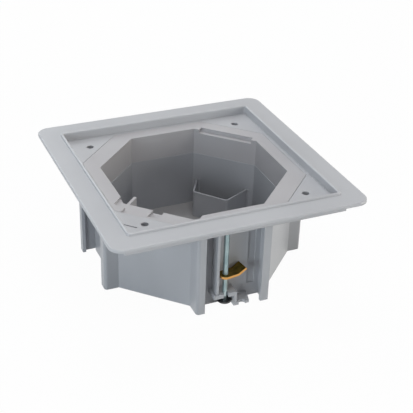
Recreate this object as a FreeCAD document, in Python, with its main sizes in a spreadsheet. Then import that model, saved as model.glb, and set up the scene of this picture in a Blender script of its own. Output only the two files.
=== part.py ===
import FreeCAD, Part
import math
import os
import re
import Sketcher

# Floor socket box: a square trim frame with a recess for its lid, an octagonal well carried in
# it by a flush ring, a deep moulded tub with fins and channels outside, a floor plate, a cable
# guard, and two claw screws that pull bent steel claws up under the floor panel.
#
# Millimetres. The origin is on the underside, in the middle of the box, +Z is up. The front
# channel, with the first claw, faces -Y. The second claw set is the first turned half round.

# ---------------------------------------------------------------- driving sizes

SIZES = [
    # trim frame
    ("flange_top", 80.5, "height of the flange's upper face over the underside of the box"),
    ("frame_side", 200, "outer side of the square flange"),
    ("frame_corner", 10, "corner radius of the flange"),
    ("flange_width", 16, "width of the flange outside the bead"),
    ("flange_thick", 2.4, "thickness of the flange"),
    ("flange_round", 0.9, "rounding of the flange's outer edge"),
    ("lip_rise", 1.5, "rise of the bead round the recess over the flange"),
    ("lip_width", 2.5, "width of the bead, which is also the recess wall"),
    ("lip_round", 1.1, "rounding of the bead's two edges"),
    ("lip_corner", 3, "radius of the bead's outer corners"),
    ("recess_corner", 1.2, "corner radius of the recess"),
    ("recess_depth", 5.4, "depth of the shelf under the flange's upper face"),
    ("shelf_thick", 2.6, "thickness of the shelf in the frame's corners"),
    ("shelf_width", 3, "width of the shelf along the middle of each side"),
    ("locator_gap", 1.3, "gap between the tub's rim and the locating wall round it"),
    ("locator_wall", 1.7, "thickness of the locating wall that enters the floor cut-out"),
    ("locator_drop", 13, "reach of the locating wall under the flange's upper face"),
    ("hole_inset", 17.2, "distance of a corner hole from the recess walls"),
    ("hole_bore", 5.6, "diameter of a corner hole"),
    ("boss_width", 12.5, "diameter of the boss under a corner hole"),
    ("boss_drop", 23, "reach of a boss under the flange's upper face"),
    ("slit_inset", 17.7, "distance of the corner slit from the recess's corner, on the diagonal"),
    ("slit_end", 2.8, "distance of the slit's inner end from the diagonal"),
    ("slit_width", 0.9, "width of the corner slit"),
    ("slit_depth", 1.2, "depth of the corner slit"),
    # support ring
    ("ring_width", 11, "width of the ring along the sides, from the well to its outer edge"),
    ("ring_corner_width", 15.5, "width of the ring at the corners"),
    ("ring_gap", 0.3, "gap all round between ring and frame"),
    ("ring_thick", 5, "thickness of the ring"),
    ("ring_step", 2, "how far the thick part of the ring stays inside its top plate"),
    ("sleeve_wall", 1.9, "wall of the sleeve under the ring"),
    ("seam_drop", 28, "depth of the sleeve's lower edge under the flange's upper face"),
    ("seat_length", 46.6, "length of the seat cut along the back right flat of the well"),
    ("seat_width", 4.6, "width of that seat"),
    ("seat_depth", 3.4, "depth of that seat"),
    ("latch_depth", 2.1, "depth of the latch recess at the front left corner"),
    ("latch_half", 32.6, "half the length of the wide part of that recess"),
    ("latch_reach", 7.9, "its reach from the well along the diagonal"),
    ("latch_edge", 7.3, "its reach past the well's flats that face the sides"),
    ("outlet_half", 22.9, "half the width of its narrower part, open to the ring's edge"),
    ("key_width", 8.6, "width of the key slot in the middle of the latch recess"),
    ("key_length", 10, "length of the key slot, outwards from the well"),
    ("key_depth", 2.4, "depth of the key slot under the floor of the recess"),
    ("finger_side", 23.2, "distance of the latch finger from the diagonal"),
    ("finger_thick", 2.2, "thickness of the latch finger"),
    ("finger_reach", 12.3, "how far the finger stands into the well"),
    ("finger_height", 9, "height of the finger"),
    # tub
    ("corner_wall", 4.5, "thickness of the tub's corner walls up at the ring"),
    ("channel_depth", 10.6, "depth of a channel, from the fins' outer faces to its back wall"),
    ("seam_ledge", 0.4, "ledge that shows under the sleeve"),
    ("sleeve_gap", 0.1, "gap between the sleeve and the tub's rebate"),
    ("rim_margin", 5.5, "how far the rim and the fins stand out past the frame's opening"),
    ("rim_corner_margin", 1.2, "the same at the corners"),
    ("rim_thick", 2.2, "thickness of the rim under the ring"),
    ("rim_edge", 1.6, "thickness of the rim's upstanding edge"),
    ("foot_ledge_width", 3.6, "width of the ledge that carries the floor plate"),
    ("foot_ledge_thick", 2, "thickness of that ledge"),
    ("core_gap", 1.5, "width of the groove that cores the wall from below"),
    ("core_floor", 4, "solid wall left between that groove and the seam ledge"),
    ("core_wall", 2, "wall round the core of a thick fin"),
    ("fin_round", 2.6, "rounding of a fin's outer corner"),
    ("left_fin_near", 24.4, "claw side, left fin: near face from the middle"),
    ("left_fin_far", 31, "claw side, left fin: far face from the middle"),
    ("right_fin_lip", 21.3, "claw side, right fin: edge of its lip from the middle"),
    ("right_fin_near", 24, "claw side, right fin: near face of its web from the middle"),
    ("right_fin_far", 27.6, "claw side, right fin: far face from the middle"),
    ("fin_lip", 2.6, "thickness of a fin's lip"),
    ("thin_fin_lip", 28, "plain side, back fin: edge of its lip from the middle"),
    ("thin_fin_near", 31, "plain side, back fin: near face of its web from the middle"),
    ("thin_fin_far", 33.6, "plain side, back fin: far face from the middle"),
    ("broad_fin_near", 20.4, "plain side, front fin: near face from the middle"),
    ("broad_fin_far", 29, "plain side, front fin: far face from the middle"),
    ("guide_near", 13.1, "claw side, guide rib: near face from the middle"),
    ("guide_thick", 2.1, "thickness of the guide rib"),
    ("guide_setback", 1, "how far the guide rib's front stays behind the fins' outer faces"),
    ("panel_near", 14, "sunk panel in a channel: near side from the middle"),
    ("panel_width", 6, "width of the sunk panel"),
    ("panel_depth", 1.2, "depth of the sunk panel"),
    ("panel_foot", 11.4, "height of the sunk panel's lower end"),
    # screw bracket at the foot of a claw channel
    ("bracket_overhang", 0.5, "how far the bracket's front stands out past the fins"),
    ("bracket_left", 17.3, "reach of its upper plate to the left of the middle"),
    ("bracket_right", 1.2, "reach of its upper plate to the right of the middle"),
    ("bracket_top", 14.1, "height of the upper plate's upper face"),
    ("bracket_thick", 3.4, "thickness of the upper plate"),
    ("bracket_leg", 2.3, "thickness of the leg under the plate's right end"),
    ("foot_plate_low", 1.7, "height of the lower plate's underside"),
    ("foot_plate_thick", 2.4, "thickness of the lower plate"),
    ("foot_plate_tip", 11.4, "right end of the lower plate at its front"),
    ("foot_plate_root", 14.8, "right end of the lower plate at the wall"),
    ("foot_notch_bore", 5.4, "diameter of the half-round notch in the lower plate"),
    ("foot_notch_place", 5.7, "distance of that notch from the middle"),
    # floor plate and cable guard
    ("floor_thick", 2.5, "thickness of the floor plate"),
    ("floor_gap", 0.15, "gap round the floor plate"),
    ("guard_top", 28, "height of the guard's upper edge"),
    ("guard_wall", 1.3, "thickness of the guard"),
    ("guard_round", 3, "outer radius of the guard's two bends"),
    ("guard_gap", 0.15, "gap between the guard's ends and the wall"),
    ("guard_left_depth", 22.6, "guard's left bend, how far it stands in from the wall"),
    ("guard_right_depth", 25.2, "guard's right bend, how far it stands in from the wall"),
    ("guard_left_root", 24.6, "guard's left end, distance from the diagonal"),
    ("guard_left_bend", 18.4, "guard's left bend, distance from the diagonal"),
    ("guard_right_bend", 13.5, "guard's right bend, distance from the diagonal"),
    ("guard_right_root", 22.3, "guard's right end, distance from the diagonal"),
    ("guide_bead", 1.4, "width and depth of the beads that hold the guard's ends"),
    # claw screw, claw and retaining washer
    ("screw_side", 7.5, "claw screw's axis, distance from the middle of its side"),
    ("screw_inset", 3, "claw screw's axis, distance behind the fins' outer faces"),
    ("screw_width", 4, "diameter of the claw screw's thread"),
    ("neck_width", 3.3, "diameter of its plain neck"),
    ("screw_end", 5.4, "height of the screw's lower end"),
    ("head_width", 6, "diameter of its head"),
    ("head_thick", 2.1, "height of its head"),
    ("head_lift", 0.05, "running gap under the head and over the bracket"),
    ("drive_slot", 0.9, "width of the slot in the head"),
    ("drive_depth", 1.1, "depth of the slot in the head"),
    ("rim_hole", 4.4, "diameter of the screw's hole in the rim"),
    ("head_room", 7.2, "diameter of the clearance cut for the head"),
    ("neck_slot", 3.9, "width of the open slot in the bracket"),
    ("washer_width", 11.2, "diameter of the retaining washer"),
    ("washer_thick", 1.5, "thickness of the washer"),
    ("washer_low", 6.2, "height of the washer's underside"),
    ("washer_chamfer", 0.5, "chamfer of the washer's two rims"),
    ("grip_gap", 0.02, "radial gap between washer and neck"),
    ("claw_rest", 28.1, "height of the claw's underside where it is stored"),
    ("claw_yaw_angle", 8.6, "angle in degrees of the stored claw to its side"),
    ("claw_width", 10, "width of the claw"),
    ("claw_thick", 1.9, "thickness of the claw"),
    ("claw_tail", 4.8, "reach of the claw behind the screw's axis"),
    ("claw_arm", 9, "distance of the claw's bend from the screw's axis"),
    ("claw_tip", 7.7, "length of the bent tip"),
    ("claw_rise_angle", 28.5, "angle in degrees of the bent tip"),
    ("claw_bend", 2, "inside radius of the bend"),
    ("tail_round", 4.4, "radius of the tail's corners"),
    ("thread_gap", 0.05, "radial gap between claw and screw"),
]

doc = FreeCAD.newDocument("FloorSocketBox")
sheet = doc.addObject("Spreadsheet::Sheet", "dim")
for row, (alias, value, meaning) in enumerate(SIZES, start=1):
    sheet.set(f"A{row}", meaning)
    sheet.set(f"B{row}", str(value))
    sheet.setAlias(f"B{row}", alias)
doc.recompute()

ALIASES = re.compile(r"\b(" + "|".join(alias for alias, value, meaning in SIZES) + r")\b")

# Heights and reaches that several pieces share, as formulas over the sheet.
SHELF_TOP = "(flange_top - recess_depth)"
SHELF_LOW = "(flange_top - recess_depth - shelf_thick)"
FLANGE_LOW = "(flange_top - flange_thick)"
LIP_TOP = "(flange_top + lip_rise)"
RIM_TOP = "(flange_top - recess_depth - ring_thick)"
RIM_LOW = "(flange_top - recess_depth - ring_thick - rim_thick)"
SEAM = "(flange_top - seam_drop)"
FLOOR_TOP = "(foot_ledge_thick + floor_thick)"
BRACKET_LOW = "(bracket_top - bracket_thick)"
LIP_REACH = "(frame_side / 2 - flange_width)"
RECESS = f"({LIP_REACH} - lip_width)"
HOLE_PLACE = f"({RECESS} - hole_inset)"
OPENING = f"({RECESS} - shelf_width)"
WELL = f"({OPENING} - ring_width)"
WELL_LOW = f"({WELL} - seam_ledge)"
REBATE = f"({WELL} + sleeve_wall + sleeve_gap)"
OPENING_CORNER = f"({WELL} + ring_corner_width)"
RIM = f"({OPENING} + rim_margin)"
RIM_CORNER = f"({OPENING_CORNER} + rim_corner_margin)"
TUB_CORNER = f"({WELL} + corner_wall)"
CHANNEL = f"({RIM} - channel_depth)"
BRACKET_FRONT = f"({RIM} + bracket_overhang)"
SCREW_OUT = f"({RIM} - screw_inset)"


# ---------------------------------------------------------------- small helpers


def formula(text):
    """The same formula with each size's name pointing at its cell."""
    return ALIASES.sub(r"dim.\1", text)


def bind(thing, name, text):
    thing.setExpression(name, formula(text))


def new_body(label):
    body = doc.addObject("PartDesign::Body", label)
    body.Label = label
    return body


def origin_part(body, role):
    """An origin plane or axis of a body."""
    for feature in body.Origin.OriginFeatures:
        if feature.Role == role:
            return feature


def sketch_at(body, name, height="0", plane="XY_Plane", turn=0):
    """A sketch on an origin plane, lifted by a formula and turned about its normal."""
    sketch = body.newObject("Sketcher::SketchObject", name)
    sketch.AttachmentSupport = [(origin_part(body, plane), "")]
    sketch.MapMode = "FlatFace"
    sketch.AttachmentOffset = FreeCAD.Placement(
        FreeCAD.Vector(0, 0, 0), FreeCAD.Rotation(FreeCAD.Vector(0, 0, 1), turn))
    bind(sketch, "AttachmentOffset.Base.z", height)
    return sketch


def place_point(sketch, element, point, corner):
    """Tie a point of a sketch to a corner given as two formulas."""
    for kind, text in zip(("DistanceX", "DistanceY"), corner):
        value = sketch.evalExpression(formula(text))
        index = sketch.addConstraint(Sketcher.Constraint(kind, -1, 1, element, point, value))
        bind(sketch, f"Constraints[{index}]", text)


def add_outline(sketch, corners):
    """A closed outline of straight lines through corners given as formulas."""
    places = []
    for across, along in corners:
        across_now = sketch.evalExpression(formula(across))
        along_now = sketch.evalExpression(formula(along))
        places.append(FreeCAD.Vector(across_now, along_now, 0))
    first = sketch.GeometryCount
    count = len(places)
    lines = [Part.LineSegment(places[n], places[(n + 1) % count]) for n in range(count)]
    sketch.addGeometry(lines, False)
    joints = []
    for n in range(count):
        joints.append(Sketcher.Constraint("Coincident", first + n, 2, first + (n + 1) % count, 1))
    sketch.addConstraint(joints)
    for n, corner in enumerate(corners):
        place_point(sketch, first + n, 1, corner)


def add_circle(sketch, across, along, width):
    """A circle whose middle and diameter are formulas."""
    now = [sketch.evalExpression(formula(text)) for text in (across, along, width)]
    circle = Part.Circle(FreeCAD.Vector(now[0], now[1], 0), FreeCAD.Vector(0, 0, 1), now[2] / 2)
    element = sketch.addGeometry(circle, False)
    place_point(sketch, element, 3, (across, along))
    index = sketch.addConstraint(Sketcher.Constraint("Diameter", element, now[2]))
    bind(sketch, f"Constraints[{index}]", width)


def square(half):
    return [(f"-{half}", f"-{half}"), (half, f"-{half}"), (half, half), (f"-{half}", half)]


def rectangle(left, right, low, high):
    return [(left, low), (right, low), (right, high), (left, high)]


def octagon(side_reach, corner_reach):
    """Eight corners from the reach of the side flats and of the corner flats."""
    short = f"({corner_reach} * sqrt(2) - {side_reach})"
    return [(side_reach, f"-{short}"), (side_reach, short), (short, side_reach),
            (f"-{short}", side_reach), (f"-{side_reach}", short),
            (f"-{side_reach}", f"-{short}"), (f"-{short}", f"-{side_reach}"),
            (short, f"-{side_reach}")]


def pad(body, sketch, length, name):
    feature = body.newObject("PartDesign::Pad", name)
    feature.Profile = sketch
    bind(feature, "Length", length)
    doc.recompute()
    return feature


def pocket(body, sketch, depth, name):
    """Cut against the sketch's normal, and make sure that something was cut."""
    before = body.Shape.Volume
    feature = body.newObject("PartDesign::Pocket", name)
    feature.Profile = sketch
    bind(feature, "Length", depth)
    doc.recompute()
    if not body.Shape.Volume < before:
        raise RuntimeError(f"{name} cuts nothing")
    return feature


def revolve(body, sketch, name):
    feature = body.newObject("PartDesign::Revolution", name)
    feature.Profile = sketch
    feature.ReferenceAxis = (sketch, ["V_Axis"])
    feature.Angle = 360
    doc.recompute()
    return feature


def turned_copies(body, originals, copies, name):
    """The same features again, evenly round the middle of the box."""
    pattern = body.newObject("PartDesign::PolarPattern", name)
    pattern.Originals = originals
    pattern.Axis = (origin_part(body, "Z_Axis"), [""])
    pattern.Angle = 360
    pattern.Occurrences = copies
    body.Tip = pattern
    doc.recompute()
    return pattern


def edges_where(feature, wanted):
    """Names of a feature's edges whose middle and ends pass a test."""
    names = []
    for number, edge in enumerate(feature.Shape.Edges, start=1):
        ends = [vertex.Point for vertex in edge.Vertexes]
        if ends and wanted(edge.CenterOfMass, ends):
            names.append(f"Edge{number}")
    return names


def fillet(body, feature, wanted, radius, name):
    names = edges_where(feature, wanted)
    if not names:
        raise RuntimeError(f"{name} finds no edge")
    rounded = body.newObject("PartDesign::Fillet", name)
    rounded.Base = (feature, names)
    bind(rounded, "Radius", radius)
    doc.recompute()
    return rounded


def size(text):
    """A formula's value now."""
    return float(sheet.evalExpression(formula(text)))


def upright(ends):
    """True for an edge that stands straight up."""
    return len(ends) == 2 and abs(ends[0].x - ends[1].x) + abs(ends[0].y - ends[1].y) < 1e-4


def level(ends, height):
    return all(abs(end.z - height) < 1e-4 for end in ends)


def near(value, target):
    return abs(value - target) < 1e-3


# ---------------------------------------------------------------- trim frame


def build_trim_frame():
    """Flange, bead, recess wall, corner shelves with screw bosses, and locating wall."""
    body = new_body("trim_frame")

    sketch = sketch_at(body, "FlangeOutline", FLANGE_LOW)
    add_outline(sketch, square("(frame_side / 2)"))
    flange = pad(body, sketch, "flange_thick", "Flange")
    half_frame = size("frame_side / 2")
    flange = fillet(body, flange, lambda middle, ends: upright(ends), "frame_corner",
                    "FlangeCorners")

    sketch = sketch_at(body, "PanOutline", SHELF_LOW)
    add_outline(sketch, square(LIP_REACH))
    pan = pad(body, sketch, f"{LIP_TOP} - {SHELF_LOW}", "Pan")

    sketch = sketch_at(body, "LocatorOutline", "flange_top - locator_drop")
    add_outline(sketch, square(f"({RIM} + locator_gap + locator_wall)"))
    add_outline(sketch, square(f"({RIM} + locator_gap)"))
    pad(body, sketch, "locator_drop - flange_thick", "Locator")

    sketch = sketch_at(body, "BossOutline", "flange_top - boss_drop")
    for side_x in ("-", ""):
        for side_y in ("-", ""):
            add_circle(sketch, side_x + HOLE_PLACE, side_y + HOLE_PLACE, "boss_width")
    pad(body, sketch, f"{SHELF_LOW} - flange_top + boss_drop", "Bosses")

    sketch = sketch_at(body, "RecessOutline", LIP_TOP)
    add_outline(sketch, square(RECESS))
    pocket(body, sketch, "lip_rise + recess_depth", "Recess")

    sketch = sketch_at(body, "RingOpening", SHELF_TOP)
    add_outline(sketch, octagon(OPENING, OPENING_CORNER))
    pocket(body, sketch, "shelf_thick", "RingHole")

    sketch = sketch_at(body, "HoleOutline", SHELF_TOP)
    for side_x in ("-", ""):
        for side_y in ("-", ""):
            add_circle(sketch, side_x + HOLE_PLACE, side_y + HOLE_PLACE, "hole_bore")
    pocket(body, sketch, "boss_drop", "Holes")

    # A short slit crosses half of the front left corner of the shelf, out to the recess wall.
    slit = sketch_at(body, "SlitOutline", SHELF_TOP, turn=225)
    near_side = f"({RECESS} * sqrt(2) - slit_inset - slit_width / 2)"
    far_side = f"({RECESS} * sqrt(2) - slit_inset + slit_width / 2)"
    add_outline(slit, [(near_side, "-slit_inset - slit_width / 2"),
                       (far_side, "-slit_inset + slit_width / 2"),
                       (far_side, "-slit_end"), (near_side, "-slit_end")])
    last = pocket(body, slit, "slit_depth", "Slit")

    lip_reach = size(LIP_REACH)
    lip_top = size(LIP_TOP)
    flange_top = size("flange_top")

    def bead_corner(middle, ends):
        corner = near(abs(middle.x), lip_reach) and near(abs(middle.y), lip_reach)
        return upright(ends) and corner and middle.z > flange_top - 1e-3
    last = fillet(body, last, bead_corner, "lip_corner", "BeadCorners")
    recess_reach = size(RECESS)

    def recess_corner(middle, ends):
        corner = near(abs(middle.x), recess_reach) and near(abs(middle.y), recess_reach)
        return upright(ends) and corner
    last = fillet(body, last, recess_corner, "recess_corner", "RecessCorners")

    def bead_top(middle, ends):
        return level(ends, lip_top)
    last = fillet(body, last, bead_top, "lip_round", "BeadTop")

    def flange_rim(middle, ends):
        reach = max(abs(middle.x), abs(middle.y))
        outside = reach > half_frame - size("frame_corner")
        return level(ends, flange_top) and outside
    fillet(body, last, flange_rim, "flange_round", "FlangeRim")
    return body


# ---------------------------------------------------------------- support ring


def build_support_ring():
    """Flush octagonal ring round the well, with hinge seat, latch recess, finger and sleeve."""
    body = new_body("support_ring")
    side = f"({OPENING} - ring_gap)"
    corner = f"({OPENING_CORNER} - ring_gap)"
    inner_side = f"({OPENING} - ring_step)"
    inner_corner = f"({OPENING_CORNER} - ring_step)"
    sleeve = f"({WELL} + sleeve_wall)"

    sketch = sketch_at(body, "RingTopOutline", SHELF_LOW)
    add_outline(sketch, octagon(side, corner))
    pad(body, sketch, "shelf_thick", "RingTop")

    sketch = sketch_at(body, "RingBaseOutline", RIM_TOP)
    add_outline(sketch, octagon(inner_side, inner_corner))
    pad(body, sketch, "ring_thick - shelf_thick", "RingBase")

    sketch = sketch_at(body, "SleeveOutline", SEAM)
    add_outline(sketch, octagon(sleeve, sleeve))
    pad(body, sketch, f"{RIM_TOP} - {SEAM}", "Sleeve")

    sketch = sketch_at(body, "WellOutline", SHELF_TOP)
    add_outline(sketch, octagon(WELL, WELL))
    pocket(body, sketch, f"{SHELF_TOP} - {SEAM}", "Well")

    # The lid's hinge drops on a seat along the back right flat.
    sketch = sketch_at(body, "HingeSeatOutline", SHELF_TOP, turn=45)
    inside = f"({WELL} - seat_width)"
    add_outline(sketch, rectangle(inside, f"{WELL} + seat_width",
                                  "-seat_length / 2", "seat_length / 2"))
    pocket(body, sketch, "seat_depth", "HingeSeat")

    # Its latch slides in a shallow recess at the front left, which narrows towards the ring's
    # edge and ends at it. The corners of the wide part are cut off along the sides.
    sketch = sketch_at(body, "LatchOutline", SHELF_TOP, turn=225)
    middle = f"({WELL} + latch_reach)"
    outside = f"({OPENING_CORNER} + ring_gap)"
    cut_edge = f"(({WELL} + latch_edge) * sqrt(2) - latch_half)"
    cut_end = f"(({WELL} + latch_edge) * sqrt(2) - {middle})"
    right = [(inside, "latch_half"), (cut_edge, "latch_half"), (middle, cut_end),
             (middle, "outlet_half"), (outside, "outlet_half")]
    left = [(across, f"-{along}") for across, along in reversed(right)]
    add_outline(sketch, right + left)
    pocket(body, sketch, "latch_depth", "LatchRecess")
    sketch = sketch_at(body, "KeyOutline", f"{SHELF_TOP} - latch_depth", turn=225)
    add_outline(sketch, rectangle(inside, f"{WELL} + key_length",
                                  "-key_width / 2", "key_width / 2"))
    pocket(body, sketch, "key_depth", "KeySlot")

    # One thin finger stands into the well at the left of the latch.
    sketch = sketch_at(body, "FingerOutline", f"{SHELF_TOP} - latch_depth - finger_height",
                       turn=225)
    add_outline(sketch, rectangle(f"{WELL} - finger_reach", f"{WELL} + sleeve_wall / 2",
                                  "-finger_side - finger_thick", "-finger_side"))
    pad(body, sketch, "finger_height", "Finger")
    return body


# ---------------------------------------------------------------- tub


def build_box_body():
    """Octagonal tub: well wall, fins and channels outside, rim, ledges and screw brackets."""
    body = new_body("box_body")
    sketch = sketch_at(body, "TubOutline")
    add_outline(sketch, octagon(CHANNEL, TUB_CORNER))
    pad(body, sketch, RIM_LOW, "Tub")

    # Fins at the two ends of each channel, rooted in the wall. An L-shaped fin carries a lip
    # along its front that points into the channel. The claw sides are each other turned half
    # round; the plain sides are mirror images, with their broad fins towards the front.
    root = f"({CHANNEL} - core_wall)"
    fin_root = f"-{WELL}"

    def l_shaped(lip, near_face, far_face, front, lip_back, inside):
        return [(lip, front), (far_face, front), (far_face, inside), (near_face, inside),
                (near_face, lip_back), (lip, lip_back)]
    claw_fins = sketch_at(body, "ClawFinOutline")
    add_outline(claw_fins, rectangle("-left_fin_far", "-left_fin_near", f"-{RIM}", fin_root))
    add_outline(claw_fins, l_shaped("right_fin_lip", "right_fin_near", "right_fin_far",
                                    f"-{RIM}", f"fin_lip - {RIM}", fin_root))
    claw_pad = pad(body, claw_fins, RIM_LOW, "ClawFins")
    turned_copies(body, [claw_pad], 2, "BothClawFins")
    plain_fins = sketch_at(body, "PlainFinOutline", turn=90)
    for front, lip_back, inside in ((f"-{RIM}", f"fin_lip - {RIM}", fin_root),
                                    (RIM, f"{RIM} - fin_lip", WELL)):
        add_outline(plain_fins, rectangle("-broad_fin_far", "-broad_fin_near", front, inside))
        add_outline(plain_fins, l_shaped("thin_fin_lip", "thin_fin_near", "thin_fin_far",
                                         front, lip_back, inside))
    fins = pad(body, plain_fins, RIM_LOW, "PlainFins")
    outer = size(RIM)
    claw_far = size("left_fin_far")
    plain_far = size("broad_fin_far")

    def fin_corner(middle, ends):
        claw_side = near(abs(middle.x), claw_far) and near(abs(middle.y), outer)
        plain_side = near(abs(middle.x), outer) and near(abs(middle.y), plain_far)
        return upright(ends) and (claw_side or plain_side)
    fillet(body, fins, fin_corner, "fin_round", "FinCorners")

    # A guide rib stands on the bracket in each claw channel and stops the claw's swing.
    sketch = sketch_at(body, "GuideOutline", "bracket_top")
    add_outline(sketch, rectangle("-guide_near - guide_thick", "-guide_near",
                                  f"(guide_setback - {RIM})", f"-{root}"))
    guide = pad(body, sketch, f"{RIM_LOW} - bracket_top", "GuideRib")
    turned_copies(body, [guide], 2, "BothGuideRibs")

    # Screw bracket: slotted upper plate, leg, and lower plate with a half-round notch.
    sketch = sketch_at(body, "BracketPlateOutline", BRACKET_LOW)
    add_outline(sketch, rectangle("-bracket_left", "bracket_right",
                                  f"-{BRACKET_FRONT}", f"-{root}"))
    plate = pad(body, sketch, "bracket_thick", "BracketPlate")
    sketch = sketch_at(body, "BracketLegOutline", "foot_plate_low")
    add_outline(sketch, rectangle("bracket_right - bracket_leg", "bracket_right",
                                  f"-{BRACKET_FRONT}", f"-{root}"))
    leg = pad(body, sketch, f"{BRACKET_LOW} - foot_plate_low", "BracketLeg")
    sketch = sketch_at(body, "FootPlateOutline", "foot_plate_low")
    add_outline(sketch, [("bracket_right - bracket_leg", f"-{BRACKET_FRONT}"),
                         ("foot_plate_tip", f"-{BRACKET_FRONT}"),
                         ("foot_plate_root", f"-{root}"),
                         ("bracket_right - bracket_leg", f"-{root}")])
    foot = pad(body, sketch, "foot_plate_thick", "FootPlate")
    turned_copies(body, [plate, leg, foot], 2, "BothBrackets")

    sketch = sketch_at(body, "NeckSlotOutline", "bracket_top")
    add_outline(sketch, rectangle("-screw_side - neck_slot / 2", "-screw_side + neck_slot / 2",
                                  f"-{BRACKET_FRONT} - neck_slot", f"-{SCREW_OUT}"))
    slot = pocket(body, sketch, "bracket_thick", "NeckSlot")
    sketch = sketch_at(body, "NeckSeatOutline", "bracket_top")
    add_circle(sketch, "-screw_side", f"-{SCREW_OUT}", "neck_slot")
    seat = pocket(body, sketch, "bracket_thick", "NeckSeat")
    sketch = sketch_at(body, "FootNotchOutline", "foot_plate_low + foot_plate_thick")
    add_circle(sketch, "foot_notch_place", f"-{BRACKET_FRONT}", "foot_notch_bore")
    notch = pocket(body, sketch, "foot_plate_thick", "FootNotch")
    turned_copies(body, [slot, seat, notch], 2, "BothBracketCuts")

    # Rim under the ring, with an upstanding edge that carries the frame's shelf.
    sketch = sketch_at(body, "RimOutline", RIM_LOW)
    add_outline(sketch, octagon(RIM, RIM_CORNER))
    pad(body, sketch, "rim_thick", "Rim")
    sketch = sketch_at(body, "RimEdgeOutline", RIM_TOP)
    add_outline(sketch, octagon(RIM, RIM_CORNER))
    add_outline(sketch, octagon(f"({RIM} - rim_edge)", f"({RIM_CORNER} - rim_edge)"))
    pad(body, sketch, f"{SHELF_LOW} - {RIM_TOP}", "RimEdge")

    # The well, the rebate for the ring's sleeve, and the opening over the floor ledge.
    sketch = sketch_at(body, "RebateOutline", RIM_TOP)
    add_outline(sketch, octagon(REBATE, REBATE))
    pocket(body, sketch, f"{RIM_TOP} - {SEAM}", "SleeveRebate")
    sketch = sketch_at(body, "TubWellOutline", SEAM)
    add_outline(sketch, octagon(WELL_LOW, WELL_LOW))
    pocket(body, sketch, f"{SEAM} - foot_ledge_thick", "TubWell")
    sketch = sketch_at(body, "FootOpeningOutline", "foot_ledge_thick")
    add_outline(sketch, octagon(f"({WELL_LOW} - foot_ledge_width)",
                                f"({WELL_LOW} - foot_ledge_width)"))
    pocket(body, sketch, "foot_ledge_thick", "FootOpening")

    # Moulding cores from below: one groove in the wall, one pocket in each thick fin.
    middle_wall = f"(({WELL_LOW} + {TUB_CORNER}) / 2)"
    height = f"{SEAM} - core_floor"
    sketch = sketch_at(body, "WallCoreOutline", height)
    add_outline(sketch, octagon(f"({middle_wall} + core_gap / 2)",
                                f"({middle_wall} + core_gap / 2)"))
    add_outline(sketch, octagon(f"({middle_wall} - core_gap / 2)",
                                f"({middle_wall} - core_gap / 2)"))
    pocket(body, sketch, height, "WallCore")
    claw_core = sketch_at(body, "ClawFinCoreOutline", f"{RIM_LOW} - core_floor")
    add_outline(claw_core, rectangle("-left_fin_far + core_wall", "-left_fin_near - core_wall",
                                     f"-{RIM} + core_wall", f"-{CHANNEL}"))
    first_core = pocket(body, claw_core, f"{RIM_LOW} - core_floor", "ClawFinCore")
    turned_copies(body, [first_core], 2, "BothClawFinCores")
    plain_core = sketch_at(body, "PlainFinCoreOutline", f"{RIM_LOW} - core_floor", turn=90)
    for front, inside in ((f"core_wall - {RIM}", f"-{CHANNEL}"),
                          (f"{RIM} - core_wall", CHANNEL)):
        add_outline(plain_core, rectangle("-broad_fin_far + core_wall",
                                          "-broad_fin_near - core_wall", front, inside))
    pocket(body, plain_core, f"{RIM_LOW} - core_floor", "PlainFinCores")

    # Sunk panel beside the right-hand fin of each channel.
    sketch = sketch_at(body, "PanelOutline", RIM_LOW)
    add_outline(sketch, rectangle("panel_near", "panel_near + panel_width",
                                  f"-{CHANNEL} - panel_depth", f"-{CHANNEL} + panel_depth"))
    panel = pocket(body, sketch, f"{RIM_LOW} - panel_foot", "SunkPanel")
    turned_copies(body, [panel], 4, "AllSunkPanels")

    # The claw screw's hole in the rim, and room for its head.
    sketch = sketch_at(body, "RimHoleOutline", RIM_TOP)
    add_circle(sketch, "-screw_side", f"-{SCREW_OUT}", "rim_hole")
    hole = pocket(body, sketch, "rim_thick", "RimHole")
    sketch = sketch_at(body, "HeadRoomOutline", SHELF_LOW)
    add_circle(sketch, "-screw_side", f"-{SCREW_OUT}", "head_room")
    room = pocket(body, sketch, f"{SHELF_LOW} - {RIM_TOP}", "HeadRoom")
    turned_copies(body, [hole, room], 2, "BothScrewHoles")

    # Beads that hold the guard's ends.
    sketch = sketch_at(body, "BeadOutline", FLOOR_TOP, turn=45)
    for hand, sign in (("left", ""), ("right", "-")):
        lean = f"(guard_{hand}_root - guard_{hand}_bend) / guard_{hand}_depth"
        outside = f"(guard_{hand}_root + guard_gap)"
        inside = f"(guard_{hand}_root - guard_wall - 2 * guard_gap - guide_bead * {lean})"
        for foot_line, far_line in ((outside, f"({outside} + guide_bead)"),
                                    (inside, f"({inside} - guide_bead)")):
            add_outline(sketch, [(f"{WELL_LOW} + seam_ledge", sign + foot_line),
                                 (f"{WELL_LOW} - guide_bead", sign + foot_line),
                                 (WELL_LOW, sign + far_line),
                                 (f"{WELL_LOW} + seam_ledge", sign + far_line)])
    pad(body, sketch, f"guard_top - {FLOOR_TOP}", "GuardBeads")
    return body


# ---------------------------------------------------------------- floor plate, guard


def build_base_plate():
    """Octagonal floor plate that lies on the ledge at the foot of the tub."""
    body = new_body("base_plate")
    reach = f"({WELL_LOW} - floor_gap)"
    sketch = sketch_at(body, "FloorOutline", "foot_ledge_thick")
    add_outline(sketch, octagon(reach, reach))
    pad(body, sketch, "floor_thick", "Floor")
    return body


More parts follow.
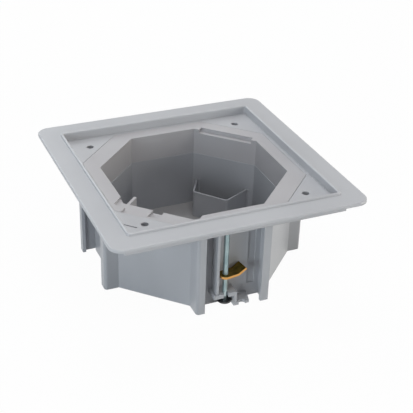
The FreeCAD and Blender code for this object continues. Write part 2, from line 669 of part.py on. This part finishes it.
def build_cable_guard():
    """Thin bent wall that shields the back right corner, where a cable comes in."""
    body = new_body("cable_guard")
    end = f"({WELL_LOW} - guard_gap)"
    sketch = sketch_at(body, "GuardOutline", FLOOR_TOP, turn=45)
    add_outline(sketch, [(end, "guard_left_root"),
                         (f"{WELL_LOW} - guard_left_depth", "guard_left_bend"),
                         (f"{WELL_LOW} - guard_right_depth", "-guard_right_bend"),
                         (end, "-guard_right_root")])
    block = pad(body, sketch, f"guard_top - {FLOOR_TOP}", "GuardBlock")
    end_now = size(end)

    def bend(middle, ends):
        return upright(ends) and (middle.x + middle.y) / math.sqrt(2) < end_now - 1
    block = fillet(body, block, bend, "guard_round", "GuardBends")
    open_faces = []
    for number, face in enumerate(block.Shape.Faces, start=1):
        normal = face.normalAt(0, 0)
        place = face.CenterOfMass
        if abs(normal.z) > 0.9 or near((place.x + place.y) / math.sqrt(2), end_now):
            open_faces.append(f"Face{number}")
    wall = body.newObject("PartDesign::Thickness", "GuardWall")
    wall.Base = (block, open_faces)
    bind(wall, "Value", "guard_wall")
    wall.Reversed = True
    wall.Join = 1
    doc.recompute()
    return body


# ---------------------------------------------------------------- claw set


def set_at_channel(body, height, turn, yaw="0"):
    """Put a piece on the claw screw's axis; the back set is the front one turned round."""
    sign = "-" if turn == 0 else ""
    bind(body, "Placement.Base.x", f"{sign}screw_side")
    bind(body, "Placement.Base.y", f"{sign}{SCREW_OUT}")
    bind(body, "Placement.Base.z", height)
    bind(body, "Placement.Rotation.Angle", f"{turn} + {yaw}")


def build_claw_screw(label, turn):
    """Slotted screw with a plain neck at its lower end."""
    body = new_body(label)
    thread_low = "(bracket_top + head_lift - screw_end)"
    seat = f"({RIM_TOP} + head_lift - screw_end)"
    top = f"({seat} + head_thick)"
    sketch = sketch_at(body, "ScrewProfile", plane="XZ_Plane")
    add_outline(sketch, [("0", "0"), ("neck_width / 2 - 0.1 * neck_width", "0"),
                         ("neck_width / 2", "0.1 * neck_width"), ("neck_width / 2", thread_low),
                         ("screw_width / 2", thread_low), ("screw_width / 2", seat),
                         ("head_width / 2", seat),
                         ("head_width / 2", f"{top} - head_thick / 4"),
                         ("head_width / 2 - head_thick / 4", top), ("0", top)])
    revolve(body, sketch, "Turned")
    sketch = sketch_at(body, "DriveSlotOutline", top)
    add_outline(sketch, rectangle("-head_width", "head_width",
                                  "-drive_slot / 2", "drive_slot / 2"))
    pocket(body, sketch, "drive_depth", "DriveSlot")
    set_at_channel(body, "screw_end", turn)
    return body


def build_retaining_washer(label, turn):
    """Flat washer pushed on the neck under the bracket, so that the screw stays in."""
    body = new_body(label)
    bore = "(neck_width / 2 + grip_gap)"
    face = "(washer_width / 2 - washer_chamfer)"
    sketch = sketch_at(body, "WasherProfile", plane="XZ_Plane")
    add_outline(sketch, [(bore, "0"), (face, "0"), ("washer_width / 2", "washer_chamfer"),
                         ("washer_width / 2", "washer_thick - washer_chamfer"),
                         (face, "washer_thick"), (bore, "washer_thick")])
    revolve(body, sketch, "Turned")
    set_at_channel(body, "washer_low", turn)
    return body


def build_clamp_claw(label, turn):
    """Bent steel strip on the screw's thread; its raised tip bites the panel from below."""
    body = new_body(label)
    rise = "claw_rise_angle * 1 deg"
    out = f"claw_tip * cos({rise})"
    lift = f"claw_tip * sin({rise})"
    lean = f"claw_thick * sin({rise})"
    stand = f"claw_thick * cos({rise})"
    inner = f"claw_arm - claw_thick * tan({rise} / 2)"
    sketch = sketch_at(body, "ClawProfile", plane="XZ_Plane")
    add_outline(sketch, [("-claw_tail", "0"), ("claw_arm", "0"),
                         (f"claw_arm + {out}", lift),
                         (f"claw_arm + {out} - {lean}", f"{lift} + {stand}"),
                         (inner, "claw_thick"), ("-claw_tail", "claw_thick")])
    strip = body.newObject("PartDesign::Pad", "Strip")
    strip.Profile = sketch
    strip.Midplane = True
    bind(strip, "Length", "claw_width")
    doc.recompute()
    tail = -size("claw_tail")

    def tail_corner(middle, ends):
        return upright(ends) and near(middle.x, tail)
    last = fillet(body, strip, tail_corner, "tail_round", "TailCorners")
    upper = size(inner)
    thick = size("claw_thick")

    def bend_inside(middle, ends):
        return near(middle.x, upper) and near(middle.z, thick) and abs(middle.y) < 1e-3
    last = fillet(body, last, bend_inside, "claw_bend", "BendInside")
    arm = size("claw_arm")

    def bend_outside(middle, ends):
        return near(middle.x, arm) and near(middle.z, 0) and abs(middle.y) < 1e-3
    fillet(body, last, bend_outside, "claw_bend + claw_thick", "BendOutside")
    sketch = sketch_at(body, "ThreadedHoleOutline", "claw_thick")
    add_circle(sketch, "0", "0", "screw_width + 2 * thread_gap")
    pocket(body, sketch, "claw_thick", "ThreadedHole")
    set_at_channel(body, "claw_rest", turn, "claw_yaw_angle")
    return body


# ---------------------------------------------------------------- assembly and export

pieces = [build_trim_frame(), build_support_ring(), build_box_body(), build_base_plate(),
          build_cable_guard()]
for place, turn in (("front", 0), ("back", 180)):
    pieces.append(build_claw_screw(f"claw_screw_{place}", turn))
    pieces.append(build_retaining_washer(f"retaining_washer_{place}", turn))
    pieces.append(build_clamp_claw(f"clamp_claw_{place}", turn))
doc.recompute()

for thing in doc.Objects:
    if "Invalid" in thing.State or "Error" in thing.State:
        raise RuntimeError(f"{thing.Name} did not compute: {thing.State}")
for piece in pieces:
    shape = piece.Shape
    if shape.isNull() or not shape.isValid() or not shape.Solids:
        raise RuntimeError(f"{piece.Label} has no valid solid")

os.makedirs("parts", exist_ok=True)
for piece in pieces:
    piece.Shape.exportStep(os.path.join("parts", piece.Label + ".step"))
    box = piece.Shape.BoundBox
    print(f"{piece.Label}: {len(piece.Shape.Solids)} solid, {piece.Shape.Volume:.0f} mm3, "
          f"z {box.ZMin:.2f} to {box.ZMax:.2f}")
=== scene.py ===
# %% [markdown]
# # Floor socket box
# This scene dresses a floor socket box: a square trim frame, a ring, a deep tub with its floor
# plate and a cable guard, all in grey plastic, and two sets of a steel screw, a steel claw and
# a black washer. The CAD solids come in first as a fixed frame. They already have the right
# shapes, so Blender's work here is finish, thread and light.

# %% Load the CAD frame
import math

import bpy
from mathutils import Matrix, Vector


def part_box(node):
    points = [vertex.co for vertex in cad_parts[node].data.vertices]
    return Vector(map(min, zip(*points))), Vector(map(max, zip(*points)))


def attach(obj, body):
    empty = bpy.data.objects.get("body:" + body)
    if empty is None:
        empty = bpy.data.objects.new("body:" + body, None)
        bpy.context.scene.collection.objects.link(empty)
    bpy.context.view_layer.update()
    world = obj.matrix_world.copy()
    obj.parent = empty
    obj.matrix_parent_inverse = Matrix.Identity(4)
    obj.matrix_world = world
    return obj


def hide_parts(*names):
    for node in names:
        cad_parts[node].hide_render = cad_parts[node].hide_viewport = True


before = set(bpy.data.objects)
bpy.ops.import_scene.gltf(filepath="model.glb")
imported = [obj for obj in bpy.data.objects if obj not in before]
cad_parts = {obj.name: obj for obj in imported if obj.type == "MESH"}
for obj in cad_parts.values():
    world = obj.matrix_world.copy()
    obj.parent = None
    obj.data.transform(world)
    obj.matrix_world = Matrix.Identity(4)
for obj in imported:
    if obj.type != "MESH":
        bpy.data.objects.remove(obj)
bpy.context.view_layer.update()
MM = 0.001
print("CAD nodes:", sorted(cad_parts))

# %% [markdown]
# Colours are easiest to read as the hex values of a paint chart. Blender's shaders count in
# linear light, so one function turns a hex value into linear numbers. A second function adds a
# node to a material, sets its sockets and joins its links, which keeps each recipe short.

# %% Colour and node helpers


def linear(hex_value):
    """Linear red, green, blue and full alpha of an sRGB hex value."""
    parts = [int(hex_value[place:place + 2], 16) / 255 for place in (1, 3, 5)]
    return [part / 12.92 if part <= 0.04045 else ((part + 0.055) / 1.055) ** 2.4
            for part in parts] + [1.0]


def add_node(tree, kind, values=None, links=None, **settings):
    """A node with its settings, its sockets' values and its incoming links."""
    node = tree.nodes.new(kind)
    for name, value in settings.items():
        setattr(node, name, value)
    for name, value in (values or {}).items():
        node.inputs[name].default_value = value
    for name, source in (links or {}).items():
        tree.links.new(source, node.inputs[name])
    return node


def new_material(name):
    """An empty material with its output node and the piece's own coordinates."""
    material = bpy.data.materials.new(name)
    material.use_nodes = True
    tree = material.node_tree
    tree.nodes.clear()
    output = add_node(tree, "ShaderNodeOutputMaterial")
    place = add_node(tree, "ShaderNodeTexCoord").outputs["Object"]
    return material, tree, output, place


print("mid grey in linear light:", round(linear("#808080")[0], 3))

# %% [markdown]
# The mouldings are a satin plastic of the ABS kind. Its surface copies a spark-eroded steel
# mould, as a fine even grain, drawn here at about a millimetre. Plastic that flows into a deep
# mould also cools unevenly, which leaves faint clouds of tone, long ones on the tub. Edges shine
# a little, because a moulded edge is never quite sharp, so a Bevel node rounds them for the
# light alone.

# %% Moulded plastic
NOISE_LOW = 0.3
NOISE_HIGH = 0.7
GLOSS_BELOW = 0.04
GLOSS_ABOVE = 0.06
GRAIN_STRENGTH = 0.12
GRAIN_DEPTH = 0.03 * MM
PLASTIC_IOR = 1.52


def moulded_plastic(name, colour, pale, grain_mm, cloud_mm, roughness, edge_mm, stretch=1.0):
    """Satin plastic: grain as bump and in gloss, clouds in tone, and softly lit edges."""
    material, tree, output, place = new_material(name)
    grain = add_node(tree, "ShaderNodeTexNoise",
                     {"Scale": 1 / (grain_mm * MM), "Detail": 3.0, "Roughness": 0.6},
                     {"Vector": place})
    long_way = add_node(tree, "ShaderNodeMapping", {"Scale": (1.0, 1.0, 1.0 / stretch)},
                        {"Vector": place})
    cloud = add_node(tree, "ShaderNodeTexNoise",
                     {"Scale": 1 / (cloud_mm * MM), "Detail": 2.0, "Roughness": 0.5},
                     {"Vector": long_way.outputs["Vector"]})
    tone = add_node(tree, "ShaderNodeMapRange",
                    {"From Min": NOISE_LOW, "From Max": NOISE_HIGH},
                    {"Value": cloud.outputs["Fac"]})
    mixed = add_node(tree, "ShaderNodeMix", None, {"Factor": tone.outputs["Result"]},
                     data_type="RGBA")
    mixed.inputs["A"].default_value = linear(colour)
    mixed.inputs["B"].default_value = linear(pale)
    gloss = add_node(tree, "ShaderNodeMapRange",
                     {"From Min": NOISE_LOW, "From Max": NOISE_HIGH,
                      "To Min": roughness - GLOSS_BELOW, "To Max": roughness + GLOSS_ABOVE},
                     {"Value": grain.outputs["Fac"]})
    soft_edge = add_node(tree, "ShaderNodeBevel", {"Radius": edge_mm * MM}, samples=8)
    bump = add_node(tree, "ShaderNodeBump",
                    {"Strength": GRAIN_STRENGTH, "Distance": GRAIN_DEPTH},
                    {"Height": grain.outputs["Fac"], "Normal": soft_edge.outputs["Normal"]})
    shader = add_node(tree, "ShaderNodeBsdfPrincipled", {"IOR": PLASTIC_IOR},
                      {"Base Color": mixed.outputs["Result"],
                       "Roughness": gloss.outputs["Result"],
                       "Normal": bump.outputs["Normal"]})
    tree.links.new(shader.outputs["BSDF"], output.inputs["Surface"])
    return material


FINISHES = {
    "trim_frame": moulded_plastic("moulded_abs_frame_grey", "#b2b3b7", "#b8b9bd",
                                  0.7, 55, 0.36, 1.0),
    "support_ring": moulded_plastic("moulded_abs_ring_grey", "#b0aeb1", "#b6b5b8",
                                    0.7, 45, 0.34, 0.15),
    "box_body": moulded_plastic("moulded_abs_tub_grey", "#a5a7ac", "#acaeb3",
                                0.9, 30, 0.32, 0.4, stretch=3.0),
    "base_plate": moulded_plastic("moulded_abs_floor_grey", "#a6a5a6", "#afaeaf",
                                  1.1, 40, 0.45, 0.3),
    "cable_guard": moulded_plastic("moulded_abs_guard_grey", "#a6a8ad", "#aeb0b5",
                                   0.7, 25, 0.36, 0.25),
}
print("plastics:", [material.name for material in FINISHES.values()])

# %% [markdown]
# The screws are steel with a thin bright zinc coat, which has a cold, slightly blue tone and
# very fine turning marks round the shank. The claws are punched steel strip, zinc coated and
# yellow passivated: the film is thin, so it shifts from olive to gold, and the sheared edges
# keep a warmer colour. The retaining washers are black plastic.

# %% Metals and the black washer
MARK_WIDTH = 0.25 * MM
MARK_DEPTH = 0.01 * MM
ACROSS_THE_MARKS = 0.15
ZINC_PATCH = 6 * MM
FILM_PATCH = 3.5 * MM
STRIP_EDGE = 0.25 * MM
SHEARED_BELOW = 0.35


def zinc_plated_steel():
    """Bright zinc plate with turning marks across the axis."""
    material, tree, output, place = new_material("bright_zinc_plated_steel")
    flat = add_node(tree, "ShaderNodeMapping",
                    {"Scale": (ACROSS_THE_MARKS, ACROSS_THE_MARKS, 1.0)},
                    {"Vector": place})
    marks = add_node(tree, "ShaderNodeTexNoise",
                     {"Scale": 1 / MARK_WIDTH, "Detail": 4.0, "Roughness": 0.6},
                     {"Vector": flat.outputs["Vector"]})
    patch = add_node(tree, "ShaderNodeTexNoise",
                     {"Scale": 1 / ZINC_PATCH, "Detail": 2.0}, {"Vector": place})
    tone = add_node(tree, "ShaderNodeMix", None, {"Factor": patch.outputs["Fac"]},
                    data_type="RGBA")
    tone.inputs["A"].default_value = linear("#93a9ae")
    tone.inputs["B"].default_value = linear("#d3dede")
    gloss = add_node(tree, "ShaderNodeMapRange", {"To Min": 0.22, "To Max": 0.42},
                     {"Value": marks.outputs["Fac"]})
    bump = add_node(tree, "ShaderNodeBump", {"Strength": 0.2, "Distance": MARK_DEPTH},
                    {"Height": marks.outputs["Fac"]})
    shader = add_node(tree, "ShaderNodeBsdfPrincipled", {"Metallic": 1.0},
                      {"Base Color": tone.outputs["Result"],
                       "Roughness": gloss.outputs["Result"],
                       "Normal": bump.outputs["Normal"]})
    tree.links.new(shader.outputs["BSDF"], output.inputs["Surface"])
    return material


def yellow_passivated_steel():
    """Olive and gold film on zinc, with warmer sheared edges."""
    material, tree, output, place = new_material("yellow_passivated_steel_strip")
    film = add_node(tree, "ShaderNodeTexNoise",
                    {"Scale": 1 / FILM_PATCH, "Detail": 3.0, "Roughness": 0.55},
                    {"Vector": place})
    ramp = add_node(tree, "ShaderNodeValToRGB", None, {"Fac": film.outputs["Fac"]})
    ramp.color_ramp.elements[0].position = 0.32
    ramp.color_ramp.elements[0].color = linear("#5f5326")
    ramp.color_ramp.elements[1].position = 0.68
    ramp.color_ramp.elements[1].color = linear("#8c7236")
    middle = ramp.color_ramp.elements.new(0.5)
    middle.color = linear("#75642e")
    normal = add_node(tree, "ShaderNodeNewGeometry").outputs["Normal"]
    upright = add_node(tree, "ShaderNodeSeparateXYZ", None, {"Vector": normal})
    side = add_node(tree, "ShaderNodeMath", {1: SHEARED_BELOW}, {0: upright.outputs["Z"]},
                    operation="LESS_THAN")
    edged = add_node(tree, "ShaderNodeMix", None,
                     {"Factor": side.outputs["Value"], "A": ramp.outputs["Color"]},
                     data_type="RGBA")
    edged.inputs["B"].default_value = linear("#c8985a")
    gloss = add_node(tree, "ShaderNodeMapRange", {"To Min": 0.3, "To Max": 0.5},
                     {"Value": film.outputs["Fac"]})
    soft_edge = add_node(tree, "ShaderNodeBevel", {"Radius": STRIP_EDGE}, samples=4)
    shader = add_node(tree, "ShaderNodeBsdfPrincipled", {"Metallic": 1.0},
                      {"Base Color": edged.outputs["Result"],
                       "Roughness": gloss.outputs["Result"],
                       "Normal": soft_edge.outputs["Normal"]})
    tree.links.new(shader.outputs["BSDF"], output.inputs["Surface"])
    return material


ZINC = zinc_plated_steel()
GOLD = yellow_passivated_steel()
BLACK = moulded_plastic("moulded_black_nylon", "#1b1c1e", "#26272a", 0.6, 8, 0.4, 0.2)
for place_name in ("front", "back"):
    FINISHES[f"claw_screw_{place_name}"] = ZINC
    FINISHES[f"clamp_claw_{place_name}"] = GOLD
    FINISHES[f"retaining_washer_{place_name}"] = BLACK
for name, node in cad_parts.items():
    node.data.materials.clear()
    node.data.materials.append(FINISHES[name])
print("finished nodes:", len(FINISHES))

# %% [markdown]
# ## Claw screws
# Each claw screw is an M4 with a slotted head and a plain neck. The CAD solid leaves the thread
# out, so a dressed screw takes its place. Its shank is a cylinder that is extruded from section
# to section, and its thread is one flat-topped ridge that the Screw modifier winds up the shank
# by the real pitch, 0.7 mm a turn. Winding it is exact, where a bump pattern would look painted.

# %% Helpers for work in edit mode


def only(piece):
    """Make one object the only selected one, and the active one."""
    bpy.ops.object.select_all(action="DESELECT")
    bpy.context.view_layer.objects.active = piece
    piece.select_set(True)


def edit_faces(piece, wanted):
    """Go into edit mode with just the faces selected that pass a test."""
    only(piece)
    bpy.ops.object.mode_set(mode="EDIT")
    bpy.ops.mesh.select_mode(type="FACE")
    bpy.ops.mesh.select_all(action="DESELECT")
    bpy.ops.object.mode_set(mode="OBJECT")
    for face in piece.data.polygons:
        face.select = wanted(face.center, face.normal)
    bpy.ops.object.mode_set(mode="EDIT")


def apply_modifier(piece, kind, **settings):
    """Add a modifier, set it and apply it."""
    modifier = piece.modifiers.new(kind.lower(), kind)
    for name, value in settings.items():
        setattr(modifier, name, value)
    only(piece)
    bpy.ops.object.modifier_apply(modifier=modifier.name)


def set_down(piece):
    """Put an object's place into its mesh, so that the object sits at the origin."""
    only(piece)
    bpy.ops.object.transform_apply(location=True, rotation=True, scale=True)


# %% One threaded screw
PITCH = 0.7 * MM
NECK_RADIUS = 1.65 * MM
CORE_RADIUS = 1.62 * MM
THREAD_RADIUS = 2.0 * MM
THREAD_FOOT = 14.2 * MM
HEAD_HEIGHT = 2.1 * MM
HEAD_EDGE = 0.55 * MM
SLOT_WIDTH = 0.9 * MM
SLOT_DEPTH = 1.1 * MM
END_CHAMFER = 0.3 * MM
SHANK_SIDES = 48
RIDGE_SUNK = 0.06 * MM
FOOT_SHARE = 0.84
CREST_SHARE = 0.16
STEPS_A_TURN = 20
MERGE_WITHIN = 0.001 * MM
SMOOTH_BELOW = 35


def shank_and_head(foot, top, radius):
    """Neck, core and head as one turned body on the Z axis."""
    neck = THREAD_FOOT - foot
    bpy.ops.object.select_all(action="DESELECT")
    bpy.ops.mesh.primitive_cylinder_add(vertices=SHANK_SIDES, radius=NECK_RADIUS, depth=neck,
                                        location=(0, 0, foot + neck / 2))
    shank = bpy.context.object
    set_down(shank)
    edit_faces(shank, lambda middle, normal: normal.z > 0.9)
    core = top - HEAD_HEIGHT - THREAD_FOOT
    for rise, spread in ((0, CORE_RADIUS / NECK_RADIUS), (core, 1),
                         (0, radius / CORE_RADIUS), (HEAD_HEIGHT, 1)):
        bpy.ops.mesh.extrude_region_move(TRANSFORM_OT_translate={"value": (0, 0, rise)})
        bpy.ops.transform.resize(value=(spread, spread, 1))
    bpy.ops.mesh.bevel(offset=HEAD_EDGE, segments=4, affect="EDGES")
    bpy.ops.object.mode_set(mode="OBJECT")
    edit_faces(shank, lambda middle, normal: normal.z < -0.9 and middle.z < foot + PITCH)
    bpy.ops.mesh.bevel(offset=END_CHAMFER, segments=2, affect="EDGES")
    bpy.ops.object.mode_set(mode="OBJECT")
    return shank


def cut_drive_slot(screw, top, radius):
    """Saw the slot across the head."""
    bpy.ops.object.select_all(action="DESELECT")
    bpy.ops.mesh.primitive_cube_add(size=1, location=(0, 0, top))
    saw = bpy.context.object
    saw.scale = (3 * radius, SLOT_WIDTH, 2 * SLOT_DEPTH)
    set_down(saw)
    apply_modifier(screw, "BOOLEAN", operation="DIFFERENCE", object=saw)
    only(saw)
    bpy.ops.object.delete()


def thread_ridge(low, high):
    """A V ridge with a flat crest, wound right-handed up the core and closed at both ends."""
    bpy.ops.object.select_all(action="DESELECT")
    bpy.ops.mesh.primitive_plane_add(size=1, rotation=(math.pi / 2, 0, 0))
    ridge = bpy.context.object
    depth = THREAD_RADIUS - CORE_RADIUS + RIDGE_SUNK
    foot_width = PITCH * FOOT_SHARE
    ridge.scale = (depth, foot_width, 1)
    ridge.location = (THREAD_RADIUS - depth / 2, 0, low + foot_width / 2)
    set_down(ridge)
    only(ridge)
    bpy.ops.object.mode_set(mode="EDIT")
    bpy.ops.mesh.select_mode(type="VERT")
    bpy.ops.mesh.select_all(action="DESELECT")
    bpy.ops.object.mode_set(mode="OBJECT")
    for corner in ridge.data.vertices:
        corner.select = corner.co.x > THREAD_RADIUS - depth / 2
    bpy.ops.object.mode_set(mode="EDIT")
    bpy.ops.transform.resize(value=(1, 1, CREST_SHARE))
    bpy.ops.object.mode_set(mode="OBJECT")
    turns = int((high - low - foot_width) / PITCH)
    apply_modifier(ridge, "SCREW", axis="Z", angle=2 * math.pi, screw_offset=PITCH,
                   iterations=turns, steps=STEPS_A_TURN, render_steps=STEPS_A_TURN,
                   use_merge_vertices=False)
    only(ridge)
    bpy.ops.object.mode_set(mode="EDIT")
    bpy.ops.mesh.select_all(action="SELECT")
    bpy.ops.mesh.remove_doubles(threshold=MERGE_WITHIN)
    bpy.ops.mesh.select_all(action="SELECT")
    bpy.ops.mesh.fill_holes(sides=4)
    bpy.ops.mesh.select_all(action="SELECT")
    bpy.ops.mesh.normals_make_consistent(inside=False)
    bpy.ops.object.mode_set(mode="OBJECT")
    return ridge


def threaded_screw(place):
    """The dressed screw of one claw set, in the place of its CAD solid."""
    low, high = (Vector(corner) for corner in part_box(f"claw_screw_{place}"))
    axis = (low + high) / 2
    radius = (high.x - low.x) / 2
    screw = shank_and_head(low.z, high.z, radius)
    cut_drive_slot(screw, high.z, radius)
    ridge = thread_ridge(THREAD_FOOT, high.z - HEAD_HEIGHT)
    only(screw)
    ridge.select_set(True)
    bpy.ops.object.join()
    screw.location = (axis.x, axis.y, 0)
    set_down(screw)
    only(screw)
    bpy.ops.object.shade_smooth_by_angle(angle=math.radians(SMOOTH_BELOW))
    screw.name = f"{place}_threaded_screw"
    screw.data.materials.clear()
    screw.data.materials.append(ZINC)
    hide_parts(f"claw_screw_{place}")
    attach(screw, f"{place}_screw")
    return screw


for place_name in ("front", "back"):
    dressed = threaded_screw(place_name)
    print(dressed.name, "has", len(dressed.data.polygons), "faces")

# %% [markdown]
# The camera is a moderate telephoto, an 85 mm lens, raised about thirty degrees and turned
# about twenty-four degrees to the left of the front channel. It leans by under two degrees, as
# a hand-levelled tripod does. Its three axes are worked out from those angles and set as one
# matrix.

# %% Camera
AZIMUTH = -0.420146
ELEVATION = 0.526644
LEAN = 0.032227
AIM_HEIGHT = 80.5
DISTANCE = 758.87 * MM
SHIFT_RIGHT = 10.705 * MM
SHIFT_UP = -33.444 * MM
LENS_LENGTH = 85.01
SENSOR_WIDTH = 36
back = Vector((math.sin(AZIMUTH) * math.cos(ELEVATION),
               -math.cos(AZIMUTH) * math.cos(ELEVATION), math.sin(ELEVATION)))
right = Vector((math.cos(AZIMUTH), math.sin(AZIMUTH), 0))
above = back.cross(right)
aim = Vector((0, 0, AIM_HEIGHT)) * MM
eye = aim + back * DISTANCE + right * SHIFT_RIGHT + above * SHIFT_UP
across = right * math.cos(LEAN) + above * math.sin(LEAN)
upward = above * math.cos(LEAN) - right * math.sin(LEAN)
camera_data = bpy.data.cameras.new("camera")
camera_data.lens = LENS_LENGTH
camera_data.sensor_width = SENSOR_WIDTH
camera = bpy.data.objects.new("camera", camera_data)
bpy.context.collection.objects.link(camera)
camera.matrix_world = Matrix((
    (across.x, upward.x, back.x, eye.x),
    (across.y, upward.y, back.y, eye.y),
    (across.z, upward.z, back.z, eye.z),
    (0, 0, 0, 1)))
bpy.context.scene.camera = camera
print("camera at", [round(part, 4) for part in eye])

# %% [markdown]
# The studio is a white floor and five softboxes. Two stand low to the left and the right and
# light the tub's walls, the left one a little colder. Two hang high, one in front and a stronger
# one behind. The fifth stands straight behind and puts a bright line on the edges that face it.
# A Light Path switch makes floor and air white, or nearly, for the camera and for reflections,
# so shiny faces still pick up white. For diffuse light the floor is a pale matt grey and the
# air is dark, so that light comes from the lamps alone.

# %% Floor and lamps
FLOOR_SIDE = 8
FLOOR_DROP = 0.0002
WHITE_SHARE = 0.97
LOW_AIM = (0, 0, 0.04)
EDGE_AIM = (0, 0, 0.06)
PLAIN_WHITE = (1, 1, 1)
# name, place, aim, width in metres, watts, colour
LAMPS = (
    ("left_softbox", (-1.44, -0.83, 0.35), LOW_AIM, 0.8, 15, (0.87, 0.95, 1.0)),
    ("right_softbox", (1.44, -0.83, 0.35), LOW_AIM, 0.8, 16.5, (1.0, 0.98, 0.91)),
    ("front_top_softbox", (-0.25, -0.68, 1.54), LOW_AIM, 0.8, 7, PLAIN_WHITE),
    ("back_top_softbox", (0.36, 0.62, 1.54), LOW_AIM, 0.6, 10, PLAIN_WHITE),
    ("back_softbox", (-0.19, 1.33, 1.05), EDGE_AIM, 0.7, 8, (0.9, 0.96, 1.0)),
)


def seen_directly(tree):
    """One for rays from the camera and for reflections, nought for other light."""
    ray = add_node(tree, "ShaderNodeLightPath")
    seen = add_node(tree, "ShaderNodeMath", None,
                    {0: ray.outputs["Is Camera Ray"], 1: ray.outputs["Is Glossy Ray"]},
                    operation="MAXIMUM")
    return seen.outputs["Value"]


def studio_floor():
    """A wide pale floor that the camera sees as nearly white, with a faint soft shadow."""
    bpy.ops.object.select_all(action="DESELECT")
    bpy.ops.mesh.primitive_plane_add(size=FLOOR_SIDE, location=(0, 0, -FLOOR_DROP))
    floor = bpy.context.object
    floor.name = "studio_floor"
    material, tree, output, _ = new_material("pale_studio_floor")
    matt = add_node(tree, "ShaderNodeBsdfDiffuse", {"Color": linear("#e6e6e6")})
    white = add_node(tree, "ShaderNodeEmission", {"Color": (1, 1, 1, 1), "Strength": 1.0})
    share = add_node(tree, "ShaderNodeMath", {1: WHITE_SHARE}, {0: seen_directly(tree)},
                     operation="MULTIPLY")
    both = add_node(tree, "ShaderNodeMixShader", None,
                    {0: share.outputs["Value"], 1: matt.outputs["BSDF"],
                     2: white.outputs["Emission"]})
    tree.links.new(both.outputs["Shader"], output.inputs["Surface"])
    floor.data.materials.append(material)


def soft_lamp(name, place, target, width, watts, colour):
    """A square area lamp that looks at a target."""
    data = bpy.data.lights.new(name, "AREA")
    data.size = width
    data.energy = watts
    data.color = colour
    lamp = bpy.data.objects.new(name, data)
    bpy.context.collection.objects.link(lamp)
    lamp.location = place
    lamp.rotation_euler = (Vector(target) - Vector(place)).to_track_quat("-Z", "Y").to_euler()


def studio_air():
    """Air that the camera and reflections see as white, and that sheds no diffuse light."""
    world = bpy.data.worlds.new("studio_air")
    bpy.context.scene.world = world
    world.use_nodes = True
    tree = world.node_tree
    tree.nodes.clear()
    output = add_node(tree, "ShaderNodeOutputWorld")
    dark = add_node(tree, "ShaderNodeBackground", {"Color": (1, 1, 1, 1), "Strength": 0.0})
    white = add_node(tree, "ShaderNodeBackground", {"Color": (1, 1, 1, 1), "Strength": 1.0})
    both = add_node(tree, "ShaderNodeMixShader", None,
                    {0: seen_directly(tree), 1: dark.outputs["Background"],
                     2: white.outputs["Background"]})
    tree.links.new(both.outputs["Shader"], output.inputs["Surface"])


studio_floor()
for lamp_row in LAMPS:
    soft_lamp(*lamp_row)
studio_air()
bpy.context.scene.view_settings.view_transform = "Standard"
